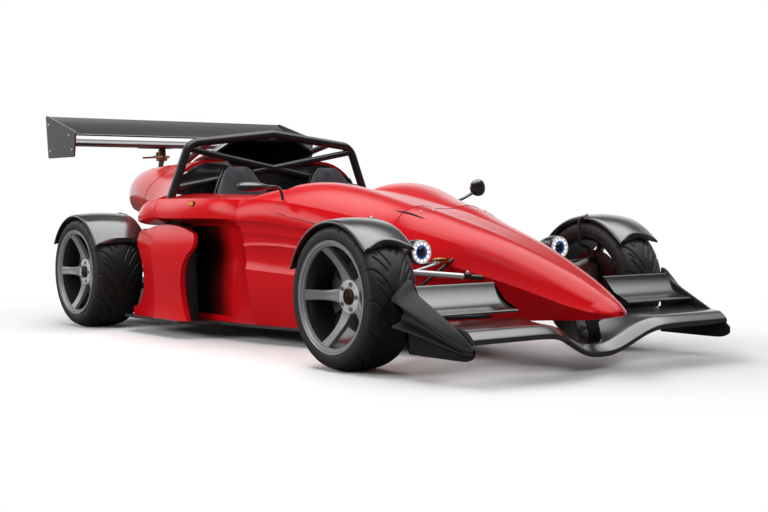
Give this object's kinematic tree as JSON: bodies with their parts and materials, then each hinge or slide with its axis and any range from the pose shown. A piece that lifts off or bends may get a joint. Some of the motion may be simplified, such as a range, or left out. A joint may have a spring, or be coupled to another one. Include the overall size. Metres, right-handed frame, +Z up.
{
  "type": "open wheel racing car",
  "caption": "Open wheel track car with two seats, a long nose between winged endplates, cycle fenders, a braced roll hoop and a high rear wing; wheels roll and steer.",
  "frame": {"origin": "on the road under the middle of the overall length, on the car's centre plane", "axes": "+X forward along the car, +Y to the car's left, +Z up"},
  "size_m": [3.9559, 1.796, 1.2627],
  "materials": {
    "red_paint": "gloss",
    "black_composite": "satin",
    "black_steel": "satin",
    "cast_alloy": "matte",
    "gold_anodised": "satin",
    "gunmetal_alloy": "satin",
    "brake_iron": "satin",
    "tyre_rubber": "matte",
    "exhaust_steel": "satin",
    "seat_cloth": "matte",
    "lamp_glass": "gloss",
    "red_lens": "gloss"
  },
  "bodies": {
    "chassis": {"nose_cone": "red_paint", "scuttle_cowl": "red_paint", "flank_left": "red_paint", "flank_right": "red_paint", "floor_tray": "black_composite", "firewall": "black_composite", "engine_cover": "red_paint", "engine_cover_collar": "red_paint", "air_scoop": "black_composite", "rail_end_left": "red_paint", "rail_end_right": "red_paint", "sidepod_left": "red_paint", "sidepod_right": "red_paint", "engine_block": "cast_alloy", "gearbox": "cast_alloy", "exhaust": "exhaust_steel", "rain_lamp": "red_lens", "tow_eye": "gold_anodised", "radiators": "cast_alloy", "roll_hoop": "black_steel", "seat_left": "seat_cloth", "seat_right": "seat_cloth", "dashboard": "black_composite", "front_wing_plane": "black_composite", "front_wing_flaps": "black_composite", "front_wing_endplates": "black_composite", "front_wing_stays": "black_composite", "rear_wing_planes": "black_composite", "rear_wing_endplates": "black_composite", "rear_wing_pylons": "gold_anodised", "headlamp_pods": "black_composite", "headlamp_lenses": "lamp_glass", "mirrors": "black_composite", "front_wishbones": "black_steel", "front_pushrods": "black_steel", "rear_wishbones": "black_steel", "rear_uprights": "cast_alloy", "fender_rear_left": "black_composite", "fender_rear_right": "black_composite"},
    "knuckle_left": {"knuckle_left": "cast_alloy", "fender_front_left": "black_composite"},
    "knuckle_right": {"knuckle_right": "cast_alloy", "fender_front_right": "black_composite"},
    "wheel_front_left": {"tyre_front_left": "tyre_rubber", "rim_front_left": "gunmetal_alloy", "hub_front_left": "brake_iron"},
    "wheel_front_right": {"tyre_front_right": "tyre_rubber", "rim_front_right": "gunmetal_alloy", "hub_front_right": "brake_iron"},
    "wheel_rear_left": {"tyre_rear_left": "tyre_rubber", "rim_rear_left": "gunmetal_alloy", "hub_rear_left": "brake_iron"},
    "wheel_rear_right": {"tyre_rear_right": "tyre_rubber", "rim_rear_right": "gunmetal_alloy", "hub_rear_right": "brake_iron"},
    "steering_rack": {"steering_rack": "black_steel"},
    "steering_wheel": {"steering_wheel": "black_composite"}
  },
  "joints": [
    {"name": "steer_right", "type": "hinge", "parent": "chassis", "child": "knuckle_right", "pos_m": [1.136, -0.6857, 0.3215], "axis": [0, 0, 1], "range_deg": [-20, 20]},
    {"name": "steer_left", "type": "hinge", "parent": "chassis", "child": "knuckle_left", "pos_m": [1.136, 0.6857, 0.3215], "axis": [0, 0, 1], "range_deg": [-20, 20]},
    {"name": "rack_slide", "type": "slide", "parent": "chassis", "child": "steering_rack", "axis": [0, 1, 0], "range_m": [-0.039, 0.039]},
    {"name": "steering_wheel_turn", "type": "hinge", "parent": "chassis", "child": "steering_wheel", "pos_m": [0.006, -0.3, 0.64], "axis": [-0.9511, 0, 0.309], "range_deg": [-180, 180]},
    {"name": "roll_front_left", "type": "hinge", "parent": "knuckle_left", "child": "wheel_front_left", "pos_m": [1.136, 0.765, 0.3215], "axis": [0, 1, 0], "continuous": true},
    {"name": "roll_front_right", "type": "hinge", "parent": "knuckle_right", "child": "wheel_front_right", "pos_m": [1.136, -0.765, 0.3215], "axis": [0, 1, 0], "continuous": true},
    {"name": "roll_rear_left", "type": "hinge", "parent": "chassis", "child": "wheel_rear_left", "pos_m": [-1.506, 0.731, 0.325], "axis": [0, 1, 0], "continuous": true},
    {"name": "roll_rear_right", "type": "hinge", "parent": "chassis", "child": "wheel_rear_right", "pos_m": [-1.506, -0.731, 0.325], "axis": [0, 1, 0], "continuous": true}
  ],
  "couplings": [
    {"joint": "steer_left", "follows": "steer_right", "ratio": 1},
    {"joint": "rack_slide", "follows": "steer_right", "m_per_rad": 0.11},
    {"joint": "steering_wheel_turn", "follows": "steer_right", "ratio": 9}
  ]
}
